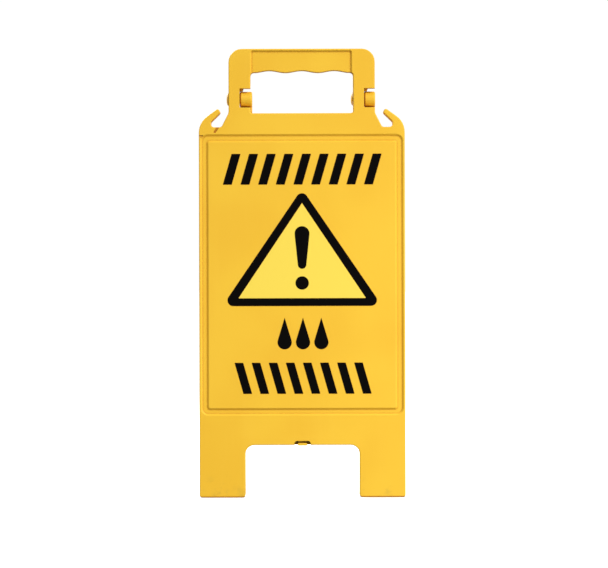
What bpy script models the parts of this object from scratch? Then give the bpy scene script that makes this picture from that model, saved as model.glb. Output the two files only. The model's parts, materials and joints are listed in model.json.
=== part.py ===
"""Folding two-panel floor sign, folded flat and standing upright.

Metres, +Z up. X runs across the sign, the front face looks along -Y, and the
origin is on the floor, midway between the two panels. The panels are moulded
shells, open towards each other, and they meet at the plane Y = 0.
"""

import math

import bmesh
import bpy
from mathutils import Matrix, Vector

# Overall size
WIDTH = 0.292
HEIGHT = 0.636
PANEL_DEPTH = 0.014  # from the plane Y = 0 to a panel's printed face
HALF_GAP = 0.0005  # each panel stops this far short of the plane Y = 0
WALL = 0.003
EDGE = 0.0012  # rounding of the outer edges
FIT = 0.0003  # gap between pieces that touch

# Feet and the arch between them
ARCH_HALF = 0.081
ARCH_TOP = 0.0742
ARCH_RADIUS = 0.013
FOOT_RADIUS = 0.004

# Shoulders and chain hooks
LEDGE = 0.5447  # top of the body, between the legs of the handle
SHOULDER_FOOT = 0.1140  # where the shoulder meets the hook's slot
SHOULDER_TOP = 0.5455
SLOT_FLOOR = 0.525
SLOT_OUTER = 0.1288
PRONG_TIP = ((0.1150, 0.546), (0.1184, 0.5518))
PRONG_ROOT = 0.532
PRONG_RADIUS = 0.028
SLOT_WALL_TOP = 0.5325
SLOT_RADIUS = 0.0048
# Slanted groove under the left hook's slot
HOOK_GROOVE = ((-0.1252, 0.5174), (-0.1225, 0.5168), (-0.1160, 0.5262), (-0.1206, 0.5262))
HOOK_GROOVE_DEPTH = 0.0020
# Short groove across the left rim, level with the top of the channel
RIM_GROOVE = (-0.1470, -0.1400, 0.5105, 0.5137)
RIM_GROOVE_DEPTH = 0.0010

# Handle
LEG_OUTER = 0.1037
LEG_INNER = 0.0728
LEG_WIDTH = LEG_OUTER - LEG_INNER
HANDLE_RADIUS = 0.0185
HANDLE_BACK = 0.008  # the handle is deeper than the panel, and ends here
HANDLE_FOOT = 0.583
GRIP_MEAN = 0.6041  # the finger waves under the grip
GRIP_WAVE = 0.00145
GRIP_PITCH = 0.046
GRIP_END = 0.596
GRIP_FACE = 0.0118  # the grip's front lies back from the legs
GRIP_FACE_SIDES = (-0.0706, 0.0692)
GRIP_FACE_TOP = 0.6316
GRIP_FACE_SLOPE = 1.0  # how far the recess widens for each metre of its depth

# Raised field with a channel round it
CHANNEL_OUTER = (0.1437, 0.1165, 0.515, 0.010)  # half width, bottom, top, corner
CHANNEL_INNER = (0.1325, 0.1268, 0.5037, 0.0015)
CHANNEL_DEPTH = 0.0021
CHANNEL_SLOPE = 0.0025

# Ribs inside the panels
RIB_X = 0.030
RIB_ROWS = (0.187, 0.298, 0.409)
RIB = 0.0024
RIB_TOP = 0.005  # the ribs stop this far from the plane Y = 0
POCKET_TOP = 0.5215
BAND_BOTTOM = 0.5245

# Main hinge
HINGE_Z = 0.5652
KNUCKLE = 0.0156  # width of the front panel's knuckle
NOTCH = (0.5528, 0.5798)
GUSSET = (0.0054, 0.0042)  # width at the notch's top and at the barrel
GUSSET_DEPTH = (-0.0040, 0.0020)  # towards the front, from the plane Y = 0
BARREL_START = 0.0159  # measured from the leg's left edge, as are the ends
BARREL_END = {"left": 0.0333, "right": 0.0315}
BARREL_RADIUS = 0.0108
BARREL_ROUND = 0.0019
PIN_RADIUS = 0.003
PIN_HEAD = 0.0093
PIN_HEAD_THICK = 0.0027
RETAINER_RADIUS = 0.0065
RETAINER_THICK = 0.0016
RETAINER_WELL = (0.0072, 0.0030)  # radius and depth of the recess for the retainer

# Stay that holds the sign open
OPEN_ANGLE = math.radians(26)
PIVOT_DROP = 0.200  # the stay's pivot lies this far below the hinge
STAY_LENGTH = 0.155
STAY_HALF = 0.0099
STAY_THICK = 0.005
STAY_EYE = 0.005
STAY_TIP = 0.0046
RIVET_RADIUS = 0.0025
RIVET_HEAD = 0.0036
CHEEK = (0.0105, 0.0135)  # inner and outer face of a bracket cheek
RAIL = (0.0110, 0.0140)
BASE_HALF = 0.022
BASE_NEAR = 0.0057  # the screwed bases, measured from the plane Y = 0
BASE_FAR = 0.0080
SCREW_X = 0.018
SCREW_RADIUS = 0.0016
SCREW_HEAD = 0.003
BOSS_RADIUS = 0.0042
SLOT_HALF = 0.0036
TRACK_SCREW_MARGIN = 0.007

# Closing catch at the top of the arch
CATCH_HALF = 0.0065
CATCH_WINDOW = (0.0116, 0.080, 0.004)  # half width, top, corner

PIVOT_Z = HINGE_Z - PIVOT_DROP
TIP_SHUT = PIVOT_Z - STAY_LENGTH
OPEN_REACH = math.asin(PIVOT_DROP / STAY_LENGTH * math.sin(OPEN_ANGLE))
TIP_OPEN = HINGE_Z - PIVOT_DROP * math.cos(OPEN_ANGLE) - STAY_LENGTH * math.cos(OPEN_REACH)
TRACK_Z = (TIP_SHUT - 0.017, TIP_OPEN + 0.017)
LEG_LEFT_EDGES = {"left": -LEG_OUTER, "right": LEG_INNER}
FRONT, BACK = -1, 1

AXES = {
    "X": lambda u, v, w: (w, u, v),
    "Y": lambda u, v, w: (u, w, v),
}


def clear_scene():
    for old in list(bpy.data.objects):
        bpy.data.objects.remove(old)


def material(name, colour, roughness, metallic=0.0):
    made = bpy.data.materials.new(name)
    made.use_nodes = True
    shader = made.node_tree.nodes["Principled BSDF"]
    shader.inputs["Base Color"].default_value = (*colour, 1.0)
    shader.inputs["Roughness"].default_value = roughness
    shader.inputs["Metallic"].default_value = metallic
    return made


def make_object(name, bm, paint=None):
    bmesh.ops.recalc_face_normals(bm, faces=bm.faces)
    mesh = bpy.data.meshes.new(name)
    bm.to_mesh(mesh)
    bm.free()
    mesh.shade_smooth()
    mesh.set_sharp_from_angle(angle=math.radians(35))
    made = bpy.data.objects.new(name, mesh)
    bpy.context.collection.objects.link(made)
    if paint:
        mesh.materials.append(paint)
    else:
        made.hide_render = True
        made.display_type = "WIRE"
    return made


def rounded(corners, steps=5):
    """An outline whose corners (u, v, radius) are turned into arcs."""
    outline = []
    for i, (u, v, radius) in enumerate(corners):
        here = Vector((u, v))
        before = (Vector(corners[i - 1][:2]) - here).normalized()
        after = (Vector(corners[(i + 1) % len(corners)][:2]) - here).normalized()
        if radius == 0:
            outline.append(here)
            continue
        half = before.angle(after) / 2
        middle = here + (before + after).normalized() * radius / math.sin(half)
        start = (here + before * radius / math.tan(half) - middle).normalized()
        end = (here + after * radius / math.tan(half) - middle).normalized()
        for step in range(steps + 1):
            outline.append(middle + start.slerp(end, step / steps) * radius)
    return outline


def box_outline(u0, u1, v0, v1, radius=0.0, steps=4):
    corners = ((u0, v0), (u1, v0), (u1, v1), (u0, v1))
    return rounded([(u, v, radius) for u, v in corners], steps)


def circle_outline(u, v, radius, count=24):
    turns = [2 * math.pi * i / count for i in range(count)]
    return [Vector((u + radius * math.cos(a), v + radius * math.sin(a))) for a in turns]


def arc(u, v, radius, start, end, steps):
    """Corner points along an arc, from start to end in degrees."""
    turns = [math.radians(start + (end - start) * i / steps) for i in range(steps + 1)]
    return [(u + radius * math.cos(a), v + radius * math.sin(a), 0) for a in turns]


def grown(outline, distance):
    """The outline moved outwards by a distance, keeping its points."""
    count = len(outline)
    area = sum(outline[i - 1].cross(outline[i]) for i in range(count))
    turn = 1 if area > 0 else -1
    moved = []
    for i, here in enumerate(outline):
        into = (here - outline[i - 1]).normalized()
        out = (outline[(i + 1) % count] - here).normalized()
        normals = Vector((into.y + out.y, -into.x - out.x)) * turn
        moved.append(here + normals * distance / (1 + into.dot(out)))
    return moved


def loft(name, outline, stations, axis="Y", paint=None):
    """A solid through the outline at each station (place along the axis, growth)."""
    bm = bmesh.new()
    rings = []
    for along, growth in stations:
        ring = grown(outline, growth) if growth else outline
        rings.append([bm.verts.new(AXES[axis](*point, along)) for point in ring])
    for near, far in zip(rings, rings[1:]):
        for i in range(len(near)):
            bm.faces.new((near[i - 1], near[i], far[i], far[i - 1]))
    bm.faces.new(rings[0])
    bm.faces.new(rings[-1])
    return make_object(name, bm, paint)


def turned(name, profile, centre, axis, paint=None, steps=24):
    """A profile of (along, radius) points turned about an axis through centre."""
    bm = bmesh.new()
    across = Vector((0, 0, 1))
    verts = [bm.verts.new(centre + axis * along + across * radius) for along, radius in profile]
    edges = [bm.edges.new((verts[i - 1], verts[i])) for i in range(len(verts))]
    bmesh.ops.spin(
        bm, geom=verts + edges, cent=centre, axis=axis, angle=2 * math.pi, steps=steps, use_merge=True
    )
    bmesh.ops.remove_doubles(bm, verts=bm.verts, dist=1e-7)
    return make_object(name, bm, paint)


def combine(target, tool, operation):
    step = target.modifiers.new(tool.name, "BOOLEAN")
    step.operation = operation
    step.solver = "EXACT"
    step.object = tool


def cut(target, tool):
    combine(target, tool, "DIFFERENCE")


def join(target, tool):
    combine(target, tool, "UNION")


def ride_on(children, parent):
    """Hangs pieces on a joint's empty without moving them."""
    for child in children:
        child.parent = parent
        child.matrix_parent_inverse = Matrix.Translation(-parent.location)


def joint_empty(name, z):
    empty = bpy.data.objects.new(name, None)
    empty.location = (0, 0, z)
    empty.empty_display_size = 0.03
    bpy.context.collection.objects.link(empty)
    return empty


def mirrored(half):
    """A closed run of corners from its right half, listed upwards."""
    return half + [(-u, v, radius) for u, v, radius in reversed(half)]


def side_corners():
    """Right side of a panel, from the arch up to the foot of the shoulder."""
    edge = WIDTH / 2
    tip_low, tip_high = PRONG_TIP
    return [
        (ARCH_HALF, ARCH_TOP, ARCH_RADIUS),
        (ARCH_HALF, 0, FOOT_RADIUS),
        (edge, 0, FOOT_RADIUS),
        (edge, PRONG_ROOT, PRONG_RADIUS),
        (*tip_high, 0.003),
        (*tip_low, 0.003),
        (SLOT_OUTER, SLOT_WALL_TOP, 0.004),
        (SLOT_OUTER, SLOT_FLOOR, SLOT_RADIUS),
        (SHOULDER_FOOT, SLOT_FLOOR, SLOT_RADIUS),
    ]


def front_outline():
    shoulder = (LEG_OUTER, SHOULDER_TOP, 0.012)
    top = (LEG_OUTER, HEIGHT, HANDLE_RADIUS)
    return rounded(mirrored(side_corners() + [shoulder, top]), 6)


def back_outline():
    ledge = (LEG_OUTER + 0.001, LEDGE, 0.003)
    return rounded(mirrored(side_corners() + [ledge]), 6)


def grip_edge(u):
    return GRIP_MEAN + GRIP_WAVE * math.cos(2 * math.pi * u / GRIP_PITCH)


def hand_gap_outline():
    """Opening under the grip: a straight ledge below, finger waves above."""
    wave_end = 1.5 * GRIP_PITCH - 0.004
    count = 36
    us = [wave_end - 2 * wave_end * i / count for i in range(count + 1)]
    waves = [(u, grip_edge(u), 0) for u in us]
    corners = [(-LEG_INNER, LEDGE, 0.0035), (LEG_INNER, LEDGE, 0.0035)]
    corners += [(LEG_INNER, grip_edge(wave_end), 0.005), *waves]
    corners += [(-LEG_INNER, grip_edge(wave_end), 0.005)]
    return rounded(corners)


def panel_blank(name, outline, side, paint):
    """Solid panel, with its face's edges rounded."""
    face = side * PANEL_DEPTH
    stations = (
        (face, -EDGE),
        (face - side * EDGE * 0.3, -EDGE * 0.3),
        (face - side * EDGE, 0),
        (side * HALF_GAP, 0),
    )
    return loft(name, outline, stations, paint=paint)


def pocket(panel, side, label, outline, near, far):
    """Hollows the panel from near to far, both measured from the plane Y = 0."""
    cut(panel, loft(f"{panel.name}_cut_{label}", outline, ((side * near, 0), (side * far, 0))))


def hollow(panel, side):
    """Pockets on the inner side, which leave the outer wall and the ribs."""
    floor = PANEL_DEPTH - WALL
    edge = WIDTH / 2 - WALL
    foot = ARCH_HALF + WALL
    low = ARCH_TOP + WALL
    legs = [(foot, low, ARCH_RADIUS), (foot, WALL, 0.002), (edge, WALL, 0.002)]
    well = rounded(mirrored(legs + [(edge, POCKET_TOP, 0.003)]))
    pocket(panel, side, "well", well, -0.001, RIB_TOP + 0.0002)
    walls = (low - RIB, *RIB_ROWS, POCKET_TOP + RIB)
    inner = RIB_X + RIB / 2
    for row, (below, above) in enumerate(zip(walls, walls[1:])):
        bottom = below + (RIB if row == 0 else RIB / 2)
        top = above - (RIB if above > POCKET_TOP else RIB / 2)
        for hand in (-1, 1):
            cell = box_outline(*sorted((hand * inner, hand * edge)), bottom, top, 0.002)
            pocket(panel, side, f"cell_{row}_{hand + 1}", cell, RIB_TOP, floor)
    centre_rows = ((low, RIB_ROWS[0] - RIB / 2), (RIB_ROWS[0] + RIB / 2, RIB_ROWS[2] - RIB / 2))
    centre_rows += ((RIB_ROWS[2] + RIB / 2, POCKET_TOP),)
    half = RIB_X - RIB / 2
    for row, (bottom, top) in enumerate(centre_rows):
        cell = box_outline(-half, half, bottom, top, 0.002)
        pocket(panel, side, f"centre_{row}", cell, RIB_TOP, floor)
    for hand in (-1, 1):
        cell = box_outline(*sorted((hand * foot, hand * edge)), WALL, low - RIB, 0.002)
        pocket(panel, side, f"foot_{hand + 1}", cell, RIB_TOP, floor)
    band = mirrored([(0.1115, BAND_BOTTOM, 0.002), (0.1025, LEDGE - WALL, 0.002)])
    pocket(panel, side, "band", rounded(band), -0.001, floor)


def channel(panel, side):
    """Sunk line round the printed field, with sloping walls."""
    face = side * PANEL_DEPTH
    floor = face - side * CHANNEL_DEPTH
    beyond = 0.001
    rise = CHANNEL_SLOPE * beyond / CHANNEL_DEPTH
    half, bottom, top, radius = CHANNEL_OUTER
    ends = ((floor, -CHANNEL_SLOPE), (face + side * beyond, rise))
    ring = loft(f"{panel.name}_channel", box_outline(-half, half, bottom, top, radius, 6), ends)
    half, bottom, top, radius = CHANNEL_INNER
    deeper = (
        (floor - side * beyond, CHANNEL_SLOPE + rise),
        (face, 0),
        (face + side * beyond * 2, 0),
    )
    core = loft(f"{panel.name}_field", box_outline(-half, half, bottom, top, radius, 3), deeper)
    cut(ring, core)
    cut(panel, ring)


def bore(target, label, u, v, radius, ends, axis):
    drill = loft(f"{target.name}_bore_{label}", circle_outline(u, v, radius), ends, axis)
    cut(target, drill)


def screw_bosses(panel, side, places):
    floor = PANEL_DEPTH - WALL
    for i, (u, v) in enumerate(places):
        ends = ((side * (floor + 0.0005), 0), (side * (BASE_FAR + FIT), 0))
        join(panel, loft(f"{panel.name}_boss_{i}", circle_outline(u, v, BOSS_RADIUS), ends))
        depth = ((side * BASE_NEAR, 0), (side * (floor + 0.0012), 0))
        bore(panel, f"screw_{i}", u, v, SCREW_RADIUS + FIT, depth, "Y")


def front_knuckle(panel, hand, left):
    """Half of a leg that carries the pin, deepened round the hinge axis."""
    radius = HANDLE_BACK - 0.0004
    top = HANDLE_FOOT + 0.002
    corners = [(-radius, top, 0), (radius, top, 0)]
    corners += arc(0, HINGE_Z, radius, 0, -90, 8)
    corners += [(-radius, HINGE_Z - radius, 0)]
    ends = ((left + 2 * FIT, 0), (left + KNUCKLE + FIT, 0))
    join(panel, loft(f"front_knuckle_{hand}", rounded(corners), ends, "X"))


def notch_gusset(panel, hand, left):
    """Small web in the top corner of the notch, set back from the face."""
    wide, narrow = GUSSET
    root = 0.0008  # how far the web reaches into the leg
    wall = left + KNUCKLE
    top = NOTCH[1]
    low = HINGE_Z + BARREL_RADIUS + FIT
    corners = (
        (wall - root, top + root, 0),
        (wall - root, low - BARREL_ROUND / 2, 0),
        (wall + FIT, low - BARREL_ROUND / 2, 0),
        (wall + FIT + BARREL_ROUND / 2, low, 0),
        (wall + narrow, low, 0),
        (wall + wide, top - 0.0002, 0),
        (wall + wide, top + root, 0),
    )
    ends = [(-depth, 0) for depth in GUSSET_DEPTH]
    join(panel, loft(f"notch_gusset_{hand}", rounded(corners), ends))


def back_knuckle(panel, hand, left):
    """Arm and barrel that sit in the front leg's notch."""
    corners = [(BARREL_RADIUS, BAND_BOTTOM - 0.001, 0)]
    corners += arc(0, HINGE_Z, BARREL_RADIUS, 0, 276, 22)
    corners += [(BARREL_RADIUS * math.cos(math.radians(276)), BAND_BOTTOM - 0.001, 0)]
    start = left + BARREL_START
    end = left + BARREL_END[hand]
    ends = (
        (start, -BARREL_ROUND),
        (start + BARREL_ROUND * 0.3, -BARREL_ROUND * 0.3),
        (start + BARREL_ROUND, 0),
        (end - BARREL_ROUND, 0),
        (end - BARREL_ROUND * 0.3, -BARREL_ROUND * 0.3),
        (end, -BARREL_ROUND),
    )
    join(panel, loft(f"back_knuckle_{hand}", rounded(corners), ends, "X"))
    radius, depth = RETAINER_WELL
    well = ((end - depth, 0), (end + 0.001, 0))
    bore(panel, f"retainer_{hand}", 0, HINGE_Z, radius, well, "X")


def build_front_panel(paint):
    panel = panel_blank("front_panel", front_outline(), FRONT, paint)
    crown = [(LEG_OUTER - FIT, HANDLE_FOOT, 0.004), (LEG_OUTER - FIT, HEIGHT - FIT, HANDLE_RADIUS)]
    rear = (
        (-0.005, 0),
        (HANDLE_BACK - 0.003, 0),
        (HANDLE_BACK - 0.001, -0.0009),
        (HANDLE_BACK, -0.003),
    )
    join(panel, loft("handle_rear", rounded(mirrored(crown), 6), rear))
    for hand, left in LEG_LEFT_EDGES.items():
        front_knuckle(panel, hand, left)
    hollow(panel, FRONT)
    channel(panel, FRONT)

    outer = LEG_OUTER - WALL - FIT
    core = [(LEG_INNER + WALL, grip_edge(0) + WALL, 0.002), (LEG_INNER + WALL, HANDLE_FOOT + WALL, 0.002)]
    core += [(outer, HANDLE_FOOT + WALL, 0.002), (outer, HEIGHT - WALL, HANDLE_RADIUS - WALL)]
    pocket(panel, FRONT, "handle", rounded(mirrored(core)), -HANDLE_BACK - 0.001, 0.0085)

    recess = box_outline(*GRIP_FACE_SIDES, GRIP_END - 0.012, GRIP_FACE_TOP, 0.001)
    beyond = PANEL_DEPTH + 0.001
    draft = ((-GRIP_FACE, 0), (-beyond, (beyond - GRIP_FACE) * GRIP_FACE_SLOPE))
    cut(panel, loft("front_panel_grip_face", recess, draft))
    gap_ends = (
        (-PANEL_DEPTH - 0.0005, EDGE + 0.0005),
        (-PANEL_DEPTH + 0.0010, 0.0002),
        (-PANEL_DEPTH + 0.0016, 0),
        (HANDLE_BACK - 0.0015, 0),
        (HANDLE_BACK + 0.0005, 0.0020),
    )
    cut(panel, loft("front_panel_hand_gap", hand_gap_outline(), gap_ends))

    for hand, left in LEG_LEFT_EDGES.items():
        notch = box_outline(left + KNUCKLE, left + LEG_WIDTH + 0.002, *NOTCH, 0.0006, 2)
        pocket(panel, FRONT, f"notch_{hand}", notch, -HANDLE_BACK - 0.001, PANEL_DEPTH + 0.001)
        notch_gusset(panel, hand, left)
        through = ((left - 0.001, 0), (left + KNUCKLE + 0.001, 0))
        bore(panel, f"pin_{hand}", 0, HINGE_Z, PIN_RADIUS + FIT, through, "X")

    groove = rounded([(u, v, 0.0004) for u, v in HOOK_GROOVE], 2)
    pocket(panel, FRONT, "hook_groove", groove, PANEL_DEPTH - HOOK_GROOVE_DEPTH, PANEL_DEPTH + 0.001)
    rim = box_outline(*RIM_GROOVE, 0.0006)
    pocket(panel, FRONT, "rim_groove", rim, PANEL_DEPTH - RIM_GROOVE_DEPTH, PANEL_DEPTH + 0.001)
    half, top, radius = CATCH_WINDOW
    window = box_outline(-half, half, ARCH_TOP - 0.006, top, radius)
    pocket(panel, FRONT, "catch_window", window, 0, PANEL_DEPTH + 0.001)
    screw_bosses(panel, FRONT, [(-SCREW_X, PIVOT_Z), (SCREW_X, PIVOT_Z)])
    return panel


def track_screw_places():
    low, high = TRACK_Z
    rows = (low + TRACK_SCREW_MARGIN, high - TRACK_SCREW_MARGIN)
    return [(u, v) for v in rows for u in (-SCREW_X, SCREW_X)]


def build_back_panel(paint):
    panel = panel_blank("back_panel", back_outline(), BACK, paint)
    hollow(panel, BACK)
    channel(panel, BACK)
    for hand, left in LEG_LEFT_EDGES.items():
        back_knuckle(panel, hand, left)
        through = ((left + KNUCKLE - 0.001, 0), (left + BARREL_END[hand] + 0.001, 0))
        bore(panel, f"pin_{hand}", 0, HINGE_Z, PIN_RADIUS + FIT, through, "X")
    screw_bosses(panel, BACK, track_screw_places())
    return panel


def retainer_start(hand, left):
    """Where a pin's groove begins, inside the recess in the barrel's end."""
    return left + BARREL_END[hand] - RETAINER_WELL[1] + FIT


def build_hinge_pin(hand, left, paint):
    """Pin with a low domed head outside the leg and a groove for its retainer."""
    head = left - FIT
    groove = retainer_start(hand, left)
    neck = PIN_RADIUS - 0.0006
    end = left + BARREL_END[hand] - FIT
    dome = [(head - PIN_HEAD_THICK, 0)]
    for share, radius in ((1, 0.2), (0.92, 0.5), (0.7, 0.75), (0.35, 0.93), (0, 1)):
        dome.append((head - PIN_HEAD_THICK * share, PIN_HEAD * radius))
    shaft = [
        (head, PIN_RADIUS),
        (groove, PIN_RADIUS),
        (groove, neck),
        (groove + RETAINER_THICK + 0.0002, neck),
        (groove + RETAINER_THICK + 0.0002, PIN_RADIUS),
        (end, PIN_RADIUS - 0.0003),
        (end, 0),
    ]
    centre = Vector((0, 0, HINGE_Z))
    return turned(f"hinge_pin_{hand}", dome + shaft, centre, Vector((1, 0, 0)), paint)


def build_retainer(hand, left, paint):
    start = retainer_start(hand, left) + 0.0001
    end = start + RETAINER_THICK
    hole = PIN_RADIUS - 0.0006 + FIT
    profile = (
        (start, hole),
        (start, RETAINER_RADIUS),
        (end - 0.0005, RETAINER_RADIUS),
        (end, RETAINER_RADIUS - 0.0006),
        (end, hole),
    )
    centre = Vector((0, 0, HINGE_Z))
    return turned(f"hinge_retainer_{hand}", profile, centre, Vector((1, 0, 0)), paint)


def build_bracket(paint):
    """Screwed-on fork that carries the stay's pivot."""
    half_height = 0.013
    outline = box_outline(-BASE_HALF, BASE_HALF, PIVOT_Z - half_height, PIVOT_Z + half_height, 0.004)
    base = loft("stay_bracket", outline, ((-BASE_FAR, 0), (-BASE_NEAR, 0)), paint=paint)
    for hand in (-1, 1):
        corners = [(-BASE_NEAR - 0.001, PIVOT_Z - 0.009, 0)]
        corners += arc(0, PIVOT_Z, 0.0055, -60, 60, 8)
        corners += [(-BASE_NEAR - 0.001, PIVOT_Z + 0.009, 0)]
        ends = [(hand * CHEEK[0], 0), (hand * CHEEK[1], 0)]
        join(base, loft(f"bracket_cheek_{hand + 1}", rounded(corners), ends, "X"))
        screw = ((-BASE_FAR - 0.001, 0), (-BASE_NEAR + 0.001, 0))
        bore(base, f"screw_{hand + 1}", hand * SCREW_X, PIVOT_Z, SCREW_RADIUS + FIT, screw, "Y")
    through = ((-0.02, 0), (0.02, 0))
    bore(base, "pivot", 0, PIVOT_Z, RIVET_RADIUS + FIT, through, "X")
    return base


def build_track(paint):
    """Screwed-on rails whose slots guide and stop the stay's sliding rivet."""
    low, high = TRACK_Z
    outline = box_outline(-BASE_HALF, BASE_HALF, low, high, 0.004)
    base = loft("stay_track", outline, ((BASE_NEAR, 0), (BASE_FAR, 0)), paint=paint)
    rail = box_outline(-SLOT_HALF - 0.0026, BASE_NEAR + 0.001, low + 0.004, high - 0.004, 0.002)
    stop = RIVET_RADIUS + FIT
    slot = box_outline(-SLOT_HALF, SLOT_HALF, TIP_SHUT - stop, TIP_OPEN + stop, 0.0022)
    for hand in (-1, 1):
        ends = ((hand * RAIL[0], 0), (hand * RAIL[1], 0))
        join(base, loft(f"track_rail_{hand + 1}", rail, ends, "X"))
    cut(base, loft("track_slot", slot, ((-0.02, 0), (0.02, 0)), "X"))
    for i, (u, v) in enumerate(track_screw_places()):
        screw = ((BASE_NEAR - 0.001, 0), (BASE_FAR + 0.001, 0))
        bore(base, f"screw_{i}", u, v, SCREW_RADIUS + FIT, screw, "Y")
    return base


def build_stay(paint):
    """Flat arm with an eye at each end and a lightening window."""
    half = STAY_THICK / 2
    outline = box_outline(-STAY_HALF, STAY_HALF, TIP_SHUT, PIVOT_Z, 0.0015)
    chamfer = 0.0005
    faces = ((-half, -chamfer), (-half + chamfer, 0), (half - chamfer, 0), (half, -chamfer))
    arm = loft("stay_arm", outline, faces, paint=paint)
    for label, z, radius in (("pivot", PIVOT_Z, STAY_EYE), ("tip", TIP_SHUT, STAY_TIP)):
        ends = ((-STAY_HALF + FIT, 0), (STAY_HALF - FIT, 0))
        join(arm, loft(f"stay_eye_{label}", circle_outline(0, z, radius), ends, "X"))
    window = box_outline(-0.0045, 0.0045, TIP_SHUT + 0.022, PIVOT_Z - 0.022, 0.0040)
    cut(arm, loft("stay_window", window, ((-half - 0.001, 0), (half + 0.001, 0))))
    for label, z in (("pivot", PIVOT_Z), ("tip", TIP_SHUT)):
        bore(arm, label, 0, z, RIVET_RADIUS + FIT, ((-0.02, 0), (0.02, 0)), "X")
    return arm


def build_rivet(name, z, grip, paint):
    """Pin with a formed head outside each of the two walls that it crosses."""
    near = grip + FIT
    far = near + 0.0018
    half = [(near, RIVET_RADIUS), (near, RIVET_HEAD), (far - 0.0006, RIVET_HEAD), (far, 0.0026), (far, 0)]
    profile = [(-along, radius) for along, radius in reversed(half)] + half
    return turned(name, profile, Vector((0, 0, z)), Vector((1, 0, 0)), paint, 18)


def build_screw(name, side, place, paint):
    """Pan-head screw: its head is towards the plane Y = 0."""
    top = BASE_NEAR - FIT - 0.0016
    profile = (
        (top, 0),
        (top, SCREW_HEAD - 0.001),
        (top + 0.0006, SCREW_HEAD - 0.0002),
        (BASE_NEAR - FIT, SCREW_HEAD),
        (BASE_NEAR - FIT, SCREW_RADIUS),
        (PANEL_DEPTH - WALL, SCREW_RADIUS),
        (PANEL_DEPTH - WALL + 0.0008, 0.0008),
        (PANEL_DEPTH - WALL + 0.0008, 0),
    )
    u, v = place
    screw = turned(name, profile, Vector((u, 0, v)), Vector((0, side, 0)), paint, 14)
    depth = ((side * (top - 0.0005), 0), (side * (top + 0.0009), 0))
    for label, wide, tall in (("level", 0.0016, 0.0004), ("upright", 0.0004, 0.0016)):
        drive = box_outline(u - wide, u + wide, v - tall, v + tall)
        cut(screw, loft(f"{name}_drive_{label}", drive, depth))
    return screw


def build_catch(paint):
    """Tongue from the back panel that shows in the front panel's window."""
    low = ARCH_TOP + WALL + FIT
    nose = ((-0.0130, 0.0733), (-0.0130, 0.0770))
    corners = [
        (HANDLE_BACK, low, 0.0005),
        (-0.0003, low, 0.0003),
        (-0.0003, nose[0][1], 0.0008),
        (*nose[0], 0.0008),
        (*nose[1], 0.0008),
        (-0.0035, nose[1][1], 0.0010),
        (-0.0035, low + 0.0045, 0.0010),
        (HANDLE_BACK, low + 0.0045, 0.0008),
    ]
    ends = (
        (-CATCH_HALF, -0.0004),
        (-CATCH_HALF + 0.0004, 0),
        (CATCH_HALF - 0.0004, 0),
        (CATCH_HALF, -0.0004),
    )
    return loft("closing_catch", rounded(corners, 3), ends, "X", paint)


def main():
    clear_scene()
    body = material("body_plastic", (0.93, 0.56, 0.06), 0.42)
    fitting = material("fitting_plastic", (0.03, 0.03, 0.035), 0.5)
    steel = material("zinc_steel", (0.62, 0.62, 0.60), 0.35, 1.0)

    build_front_panel(body)
    back = [build_back_panel(body), build_catch(body), build_track(fitting)]
    for hand, left in LEG_LEFT_EDGES.items():
        build_hinge_pin(hand, left, body)
        build_retainer(hand, left, steel)
    build_bracket(fitting)
    for hand, sign in (("left", -1), ("right", 1)):
        build_screw(f"stay_bracket_screw_{hand}", FRONT, (sign * SCREW_X, PIVOT_Z), steel)
    for i, place in enumerate(track_screw_places(), 1):
        back.append(build_screw(f"stay_track_screw_{i}", BACK, place, steel))
    build_rivet("stay_pivot_rivet", PIVOT_Z, CHEEK[1], steel)
    slider = build_rivet("stay_slide_rivet", TIP_SHUT, RAIL[1], steel)

    ride_on(back, joint_empty("main_hinge", HINGE_Z))
    ride_on([build_stay(fitting), slider], joint_empty("stay_pivot", PIVOT_Z))


main()
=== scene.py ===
"""Looks of the folding floor sign: moulded plastic, printed panels, studio.

Metres, +Z up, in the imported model's frame: the front panel's printed face
looks along -Y and the sign stands on the plane Z = 0.
"""

import json
import math

import bmesh
import bpy
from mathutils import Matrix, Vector


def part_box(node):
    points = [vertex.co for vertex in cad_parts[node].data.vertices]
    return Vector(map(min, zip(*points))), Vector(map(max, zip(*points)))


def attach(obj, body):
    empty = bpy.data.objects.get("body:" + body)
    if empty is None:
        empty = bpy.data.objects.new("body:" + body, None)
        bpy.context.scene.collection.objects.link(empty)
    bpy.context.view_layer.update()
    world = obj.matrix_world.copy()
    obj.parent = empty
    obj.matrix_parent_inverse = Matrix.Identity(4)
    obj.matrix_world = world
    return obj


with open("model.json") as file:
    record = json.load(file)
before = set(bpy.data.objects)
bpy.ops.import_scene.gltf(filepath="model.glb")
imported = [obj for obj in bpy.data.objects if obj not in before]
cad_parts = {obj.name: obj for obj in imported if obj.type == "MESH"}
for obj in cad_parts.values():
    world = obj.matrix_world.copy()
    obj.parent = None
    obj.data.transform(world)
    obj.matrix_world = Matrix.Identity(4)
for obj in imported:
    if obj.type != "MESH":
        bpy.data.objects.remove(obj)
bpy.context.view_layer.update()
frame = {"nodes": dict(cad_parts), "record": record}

FRONT, BACK = -1, 1
NODES = frame["nodes"]
FACE = {FRONT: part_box("front_panel")[0].y, BACK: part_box("back_panel")[1].y}
LEAF = {FRONT: "front_leaf", BACK: "back_leaf"}
SIDE_NAME = {FRONT: "front", BACK: "back"}

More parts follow.
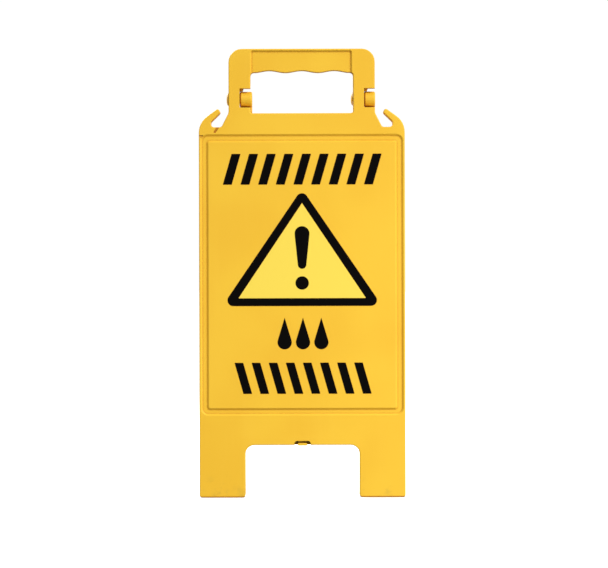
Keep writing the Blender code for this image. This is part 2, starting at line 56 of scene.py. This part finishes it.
# Print, in metres on the panel's face: X across, Z up
INK = 0.00012  # thickness of a printed layer
INK_LIFT = 0.00004  # from the panel up to the print
TOP_ROW = (-0.112, 0.113, 0.4435, 0.4870)
LOW_ROW = (-0.096, 0.098, 0.1470, 0.1910)
TOP_BARS, LOW_BARS = 9, 8
BAR_SLANT = 0.0125
BAR_ROUND = 0.0006
TRIANGLE = {"half": 0.1131, "base": 0.2714, "apex": 0.4374, "round": 0.0082}
FIELD = {"half": 0.0906, "base": 0.2823, "apex": 0.4176, "round": 0.0006}
LEMON = {"half": 0.0902, "base": 0.2825, "apex": 0.4170, "round": 0.0006}  # just inside the field
MARK_LIFT = 0.00002  # from the lemon layer up to the mark on it
DROP_XS = (-0.0250, 0.0010, 0.0270)
DROP_BOTTOM, DROP_TOP, DROP_RADIUS = 0.2100, 0.2545, 0.0100
MARK_BAR = ((0.0, 0.3740, 0.0105), (0.0, 0.3300, 0.0060))  # x, height and radius of each end
MARK_DOT = (0.0, 0.3040, 0.0095)


# ---------------------------------------------------------------- materials


class Shader:
    """A small helper that builds a node tree from named values."""

    def __init__(self, name):
        self.material = bpy.data.materials.new(name)
        self.material.use_nodes = True
        self.nodes = self.material.node_tree.nodes
        self.links = self.material.node_tree.links
        self.surface = self.nodes["Principled BSDF"]
        self.place = self.add("ShaderNodeTexCoord").outputs["Object"]

    def add(self, kind, **values):
        node = self.nodes.new(kind)
        for key, value in values.items():
            setattr(node, key, value)
        return node

    def feed(self, socket, source):
        if isinstance(source, bpy.types.NodeSocket):
            self.links.new(source, socket)
        else:
            socket.default_value = source

    def math(self, operation, a, b=0.0, c=0.0):
        node = self.add("ShaderNodeMath", operation=operation)
        for socket, source in zip(node.inputs, (a, b, c)):
            self.feed(socket, source)
        return node.outputs[0]

    def mix(self, factor, a, b):
        node = self.add("ShaderNodeMix", data_type="RGBA")
        for socket, source in zip((node.inputs[0], node.inputs[6], node.inputs[7]), (factor, a, b)):
            self.feed(socket, source)
        return node.outputs[2]

    def noise(self, scale, detail=3.0, roughness=0.55, stretch=(1, 1, 1)):
        mapping = self.add("ShaderNodeMapping")
        mapping.inputs["Scale"].default_value = stretch
        self.links.new(self.place, mapping.inputs["Vector"])
        node = self.add("ShaderNodeTexNoise")
        self.links.new(mapping.outputs[0], node.inputs["Vector"])
        node.inputs["Scale"].default_value = scale
        node.inputs["Detail"].default_value = detail
        node.inputs["Roughness"].default_value = roughness
        return node.outputs["Fac"]

    def ramp(self, source, low, high):
        """0 where source is low and 1 where it is high, smoothly."""
        node = self.add("ShaderNodeMapRange", interpolation_type="SMOOTHSTEP")
        self.feed(node.inputs["Value"], source)
        node.inputs["From Min"].default_value = low
        node.inputs["From Max"].default_value = high
        return node.outputs[0]

    def height(self):
        split = self.add("ShaderNodeSeparateXYZ")
        self.links.new(self.place, split.inputs[0])
        return split.outputs["Z"]

    def bump(self, height, distance, strength, normal=None):
        node = self.add("ShaderNodeBump")
        self.feed(node.inputs["Height"], height)
        node.inputs["Distance"].default_value = distance
        node.inputs["Strength"].default_value = strength
        if normal is not None:
            self.links.new(normal, node.inputs["Normal"])
        return node.outputs[0]

    def set(self, **values):
        for key, value in values.items():
            self.feed(self.surface.inputs[key.replace("_", " ")], value)
        return self.material


def rgb(red, green, blue):
    """Linear colour from the usual 0 to 255 display values."""
    def linear(value):
        share = value / 255
        return share / 12.92 if share <= 0.04045 else ((share + 0.055) / 1.055) ** 2.4
    return (linear(red), linear(green), linear(blue), 1.0)


def plastic_yellow():
    made = Shader("moulded_yellow")
    base = made.mix(made.ramp(made.noise(7, 2), 0.35, 0.65), rgb(223, 174, 41), rgb(227, 181, 46))
    streak = made.noise(60, 4, 0.6, stretch=(1, 1, 0.08))
    base = made.mix(made.math("MULTIPLY", made.ramp(streak, 0.5, 0.75), 0.10), base, rgb(232, 188, 58))
    edge = made.add("ShaderNodeBevel", samples=4)
    edge.inputs["Radius"].default_value = 0.0009
    shape = made.add("ShaderNodeNewGeometry")
    turn = made.add("ShaderNodeVectorMath", operation="DOT_PRODUCT")
    made.links.new(edge.outputs[0], turn.inputs[0])
    made.links.new(shape.outputs["Normal"], turn.inputs[1])
    worn = made.ramp(turn.outputs["Value"], 0.995, 0.93)
    worn = made.math("MULTIPLY", worn, made.ramp(made.noise(110, 4, 0.65), 0.42, 0.62))
    base = made.mix(made.math("MULTIPLY", worn, 0.35), base, rgb(236, 196, 84))
    # Painted shade: crevices, recesses, channel walls and the hinge notches turn a darker orange-brown
    # wherever ambient occlusion finds nearby surfaces.
    crevice_occlusion = made.add("ShaderNodeAmbientOcclusion", samples=6)
    crevice_occlusion.inputs["Distance"].default_value = 0.0028
    shade = made.ramp(crevice_occlusion.outputs["AO"], 1.0, 0.74)
    base = made.mix(made.math("MULTIPLY", shade, 0.92), base, rgb(176, 101, 4))
    low_down = made.ramp(made.height(), 0.045, 0.0)
    scuff = made.math("MULTIPLY", low_down, made.ramp(made.noise(55, 5, 0.7), 0.5, 0.7))
    base = made.mix(made.math("MULTIPLY", scuff, 0.22), base, rgb(120, 96, 50))
    rough = made.math("MULTIPLY_ADD", made.noise(420, 3), 0.10, 0.42)
    grain = made.bump(made.noise(1500, 2), 0.00006, 0.35, edge.outputs[0])
    wave = made.bump(made.noise(16, 1), 0.0006, 0.10, grain)
    return made.set(Base_Color=base, Roughness=rough, Normal=wave, IOR=1.46, Specular_IOR_Level=0.30)


def ink(name, colour, worn_colour):
    made = Shader(name)
    specks = made.ramp(made.noise(900, 3, 0.7), 0.70, 0.76)
    rub = made.math("MULTIPLY", specks, made.ramp(made.noise(24, 3), 0.48, 0.66))
    tone = made.mix(made.math("MULTIPLY", rub, 0.45), colour, worn_colour)
    tone = made.mix(made.math("MULTIPLY", made.noise(300, 2), 0.004), tone, worn_colour)
    rough = made.math("MULTIPLY_ADD", made.noise(500, 2), 0.12, 0.40)
    grain = made.bump(made.noise(1400, 2), 0.00004, 0.3)
    return made.set(Base_Color=tone, Roughness=rough, Normal=grain, Specular_IOR_Level=0.03)


def plastic_black():
    made = Shader("black_nylon")
    tone = made.mix(made.noise(90, 4), rgb(26, 26, 28), rgb(44, 44, 46))
    rough = made.math("MULTIPLY_ADD", made.noise(600, 3), 0.18, 0.42)
    return made.set(Base_Color=tone, Roughness=rough, Normal=made.bump(made.noise(1800, 2), 0.00005, 0.5))


def zinc():
    made = Shader("zinc_steel")
    tone = made.mix(made.ramp(made.noise(240, 4, 0.7), 0.35, 0.7), rgb(150, 146, 138), rgb(196, 194, 188))
    rough = made.math("MULTIPLY_ADD", made.noise(500, 4), 0.25, 0.26)
    made.surface.inputs["Metallic"].default_value = 1.0
    return made.set(Base_Color=tone, Roughness=rough, Normal=made.bump(made.noise(900, 3), 0.00004, 0.4))


def paint_node(name, material):
    """Gives a carried-over CAD node its material, with smooth shading across shallow angles."""
    mesh = NODES[name].data
    mesh.materials.clear()
    mesh.materials.append(material)
    mesh.shade_smooth()
    mesh.set_sharp_from_angle(angle=math.radians(32))


# ------------------------------------------------------------------- shapes


def rounded(corners, steps=8):
    """An outline whose corners (x, z, radius) are turned into arcs."""
    outline = []
    for i, (x, z, radius) in enumerate(corners):
        here = Vector((x, z))
        before = (Vector(corners[i - 1][:2]) - here).normalized()
        after = (Vector(corners[(i + 1) % len(corners)][:2]) - here).normalized()
        half = before.angle(after) / 2
        middle = here + (before + after).normalized() * radius / math.sin(half)
        start = (here + before * radius / math.tan(half) - middle).normalized()
        end = (here + after * radius / math.tan(half) - middle).normalized()
        outline += [middle + start.slerp(end, i / steps) * radius for i in range(steps + 1)]
    return outline


def triangle(half, base, apex, round):
    return rounded([(-half, base, round), (half, base, round), (0.0, apex, round)], 10)


def slab(name, shapes, near, far, material, side):
    """Closed sheets from outlines, each shape a list of loops: the outer one and its holes."""
    bm = bmesh.new()
    for loops in shapes:
        edges = []
        for loop in loops:
            verts = [bm.verts.new((-side * x, side * near, z)) for x, z in loop]
            edges += [bm.edges.new((verts[i - 1], verts[i])) for i in range(len(verts))]
        filled = bmesh.ops.triangle_fill(bm, use_beauty=True, use_dissolve=False, edges=edges)
        faces = [item for item in filled["geom"] if isinstance(item, bmesh.types.BMFace)]
        grown = bmesh.ops.extrude_face_region(bm, geom=faces, use_keep_orig=True)
        moved = [item for item in grown["geom"] if isinstance(item, bmesh.types.BMVert)]
        bmesh.ops.translate(bm, vec=(0, side * (far - near), 0), verts=moved)
    bmesh.ops.recalc_face_normals(bm, faces=bm.faces)
    mesh = bpy.data.meshes.new(name)
    bm.to_mesh(mesh)
    bm.free()
    mesh.materials.append(material)
    piece = bpy.data.objects.new(name, mesh)
    bpy.context.scene.collection.objects.link(piece)
    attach(piece, LEAF[side])
    return piece


# -------------------------------------------------------------------- print


def bars(row, count, slant):
    """Slanted bars that fill the row's width, as wide as the gaps between them."""
    left, right, bottom, top = row
    lean = abs(slant)
    pitch = (right - left - lean) / (count - 0.5)
    shapes = []
    for i in range(count):
        start = left + i * pitch + (0 if slant > 0 else lean)
        width = pitch / 2
        corners = (
            (start, bottom, BAR_ROUND),
            (start + width, bottom, BAR_ROUND),
            (start + width + slant, top, BAR_ROUND),
            (start + slant, top, BAR_ROUND),
        )
        shapes.append([rounded(corners, 3)])
    return shapes


def drop(x):
    """A water drop: an arc that meets its two straight sides at the point."""
    middle = DROP_BOTTOM + DROP_RADIUS
    lean = math.acos(DROP_RADIUS / (DROP_TOP - middle))
    count = 26
    start = math.pi / 2 + lean
    sweep = 2 * math.pi - 2 * lean
    turns = [start + sweep * i / count for i in range(count + 1)]
    outline = [Vector((x + DROP_RADIUS * math.cos(a), middle + DROP_RADIUS * math.sin(a))) for a in turns]
    outline.append(Vector((x, DROP_TOP)))
    return [outline]


def capsule(start, end, radius_start, radius_end, count=14):
    """A tapered bar: two round ends joined by straight sides."""
    along = end - start
    tilt = math.atan2(along.y, along.x)
    lean = math.asin((radius_start - radius_end) / along.length)
    outline = []
    for middle, radius, first, sweep in (
        (end, radius_end, tilt - math.pi / 2 + lean, math.pi - 2 * lean),
        (start, radius_start, tilt + math.pi / 2 - lean, math.pi + 2 * lean),
    ):
        for i in range(count + 1):
            turn = first + sweep * i / count
            outline.append(middle + Vector((math.cos(turn), math.sin(turn))) * radius)
    return outline


def circle(x, z, radius, count=48):
    turns = [2 * math.pi * i / count for i in range(count)]
    return [Vector((x + radius * math.cos(a), z + radius * math.sin(a))) for a in turns]


def warning_mark():
    """The plain mark inside the triangle: a tapered bar over a dot."""
    (top_x, top_z, top_radius), (foot_x, foot_z, foot_radius) = MARK_BAR
    bar = capsule(Vector((top_x, top_z)), Vector((foot_x, foot_z)), top_radius, foot_radius)
    return [[bar], [circle(*MARK_DOT)]]


def print_panel(side, black, lemon):
    near = FACE[side] * side + INK_LIFT
    far = near + INK
    name = SIDE_NAME[side]
    slab(f"{name}_print_top_row", bars(TOP_ROW, TOP_BARS, BAR_SLANT), near, far, black, side)
    slab(f"{name}_print_low_row", bars(LOW_ROW, LOW_BARS, -BAR_SLANT), near, far, black, side)
    slab(f"{name}_print_drops", [drop(x) for x in DROP_XS], near, far, black, side)
    ring = [triangle(**TRIANGLE), triangle(**FIELD)]
    slab(f"{name}_print_triangle", [ring], near, far, black, side)
    lemon_top = far - INK / 2
    slab(f"{name}_print_field", [[triangle(**LEMON)]], near, lemon_top, lemon, side)
    low, high = lemon_top + MARK_LIFT, far + INK / 2
    slab(f"{name}_print_mark", warning_mark(), low, high, black, side)


# ------------------------------------------------------------------- studio


def studio():
    """White paper under a white sky, dimmer on the left; the lamps stand to the right."""
    world = bpy.data.worlds.new("studio")
    bpy.context.scene.world = world
    world.use_nodes = True
    nodes, links = world.node_tree.nodes, world.node_tree.links
    way = nodes.new("ShaderNodeTexCoord")
    split = nodes.new("ShaderNodeSeparateXYZ")
    links.new(way.outputs["Generated"], split.inputs[0])
    rise = nodes.new("ShaderNodeMapRange")
    rise.inputs["From Min"].default_value = -0.06
    rise.inputs["From Max"].default_value = -0.01
    rise.inputs["To Min"].default_value = 0.22
    rise.inputs["To Max"].default_value = 1.02
    links.new(split.outputs["Z"], rise.inputs["Value"])
    dim = nodes.new("ShaderNodeMapRange")
    dim.inputs["From Min"].default_value = -1.0
    dim.inputs["From Max"].default_value = -0.25
    dim.inputs["To Min"].default_value = 0.75
    links.new(split.outputs["X"], dim.inputs["Value"])
    both = nodes.new("ShaderNodeMath")
    both.operation = "MULTIPLY"
    links.new(rise.outputs[0], both.inputs[0])
    links.new(dim.outputs[0], both.inputs[1])
    sky = nodes["Background"]
    sky.inputs["Color"].default_value = (1, 1, 1, 1)
    links.new(both.outputs[0], sky.inputs["Strength"])

    bpy.ops.mesh.primitive_plane_add(size=200, location=(0, 0, 0))
    floor = bpy.context.object
    floor.name = "floor"
    paper = Shader("white_paper")
    tone = paper.mix(paper.noise(3, 2), (0.92, 0.92, 0.92, 1), (0.95, 0.95, 0.95, 1))
    glow = {"Emission_Color": (1, 1, 1, 1), "Emission_Strength": 0.12, "Specular_IOR_Level": 0.0}
    floor.data.materials.append(paper.set(Base_Color=tone, Roughness=1.0, **glow))
    floor.visible_diffuse = False
    floor.visible_glossy = False

    def lamp(name, kind, place, aim, power, **values):
        light = bpy.data.lights.new(name, kind)
        light.energy = power
        for key, value in values.items():
            setattr(light, key, value)
        holder = bpy.data.objects.new(name, light)
        holder.location = place
        holder.rotation_euler = (Vector(aim) - Vector(place)).to_track_quat("-Z", "Y").to_euler()
        bpy.context.scene.collection.objects.link(holder)

    lamp("key", "SUN", (1.5, -1.7, 1.9), (0, 0, 0.32), 1.8, angle=math.radians(6))
    lamp("fill", "AREA", (0.8, -0.85, 0.25), (0.1, 0, 0.2), 6, size=0.5)
    lamp("rear", "AREA", (-1.3, 1.8, 1.7), (0, 0, 0.32), 70, size=0.8)


def camera():
    """Straight from the front, level with the middle of the sign."""
    lens = bpy.data.cameras.new("camera")
    lens.sensor_width = 36
    distance = 4.0
    seen_width = 0.8615  # width of the view at the printed face
    lens.lens = 36 * distance / seen_width
    holder = bpy.data.objects.new("camera", lens)
    holder.location = (0.0026, FACE[FRONT] - distance, 0.3025)
    holder.rotation_euler = (math.radians(90), math.radians(0.15), 0)
    bpy.context.scene.collection.objects.link(holder)
    bpy.context.scene.camera = holder


def main():
    bpy.context.scene.view_settings.view_transform = "Standard"
    yellow, nylon, steel = plastic_yellow(), plastic_black(), zinc()
    finish_of = {"body": yellow, "fitting": nylon, "hardware": steel}
    for part in frame["record"]["subparts"]:
        paint_node(part["node"], finish_of[part["material_slot"]])
    black = ink("black_ink", rgb(5, 4, 4), rgb(120, 96, 40))
    lemon = ink("lemon_ink", rgb(230, 202, 80), rgb(229, 190, 66))
    for side in (FRONT, BACK):
        print_panel(side, black, lemon)
    studio()
    camera()


main()
